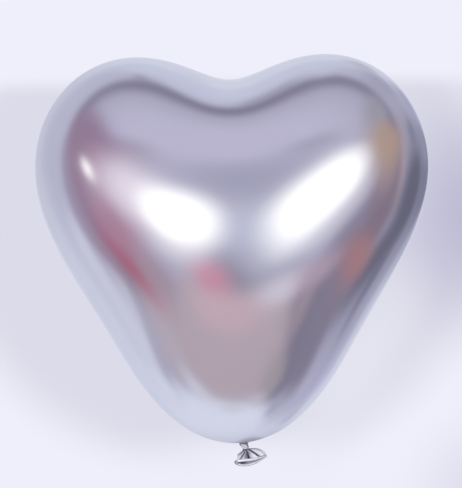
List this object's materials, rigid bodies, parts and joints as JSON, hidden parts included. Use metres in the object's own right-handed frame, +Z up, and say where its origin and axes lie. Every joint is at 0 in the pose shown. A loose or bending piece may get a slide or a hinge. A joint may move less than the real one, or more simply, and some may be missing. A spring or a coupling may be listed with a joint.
{
  "type": "heart-shaped latex balloon",
  "caption": "Inflated heart-shaped balloon of mirror-finish silver latex, tied off at its point with a small knot, a pleated slack tail and a rolled lip.",
  "frame": {"origin": "middle of the neck, just under the skin, where a hand, a ribbon or a stick holds the balloon", "axes": "+Z up from the neck through the heart, -Y the front of the heart, +X to the right seen from the front"},
  "size_m": [0.2992, 0.1906, 0.312],
  "materials": {
    "chrome_latex_skin": "gloss",
    "drawn_latex_neck": "satin",
    "slack_latex_tail": "satin"
  },
  "bodies": {
    "root": {"envelope": "chrome_latex_skin", "neck": "drawn_latex_neck", "knot_loop": "drawn_latex_neck", "knot_core": "drawn_latex_neck", "tail_skirt": "slack_latex_tail", "rolled_lip": "slack_latex_tail"}
  },
  "joints": []
}
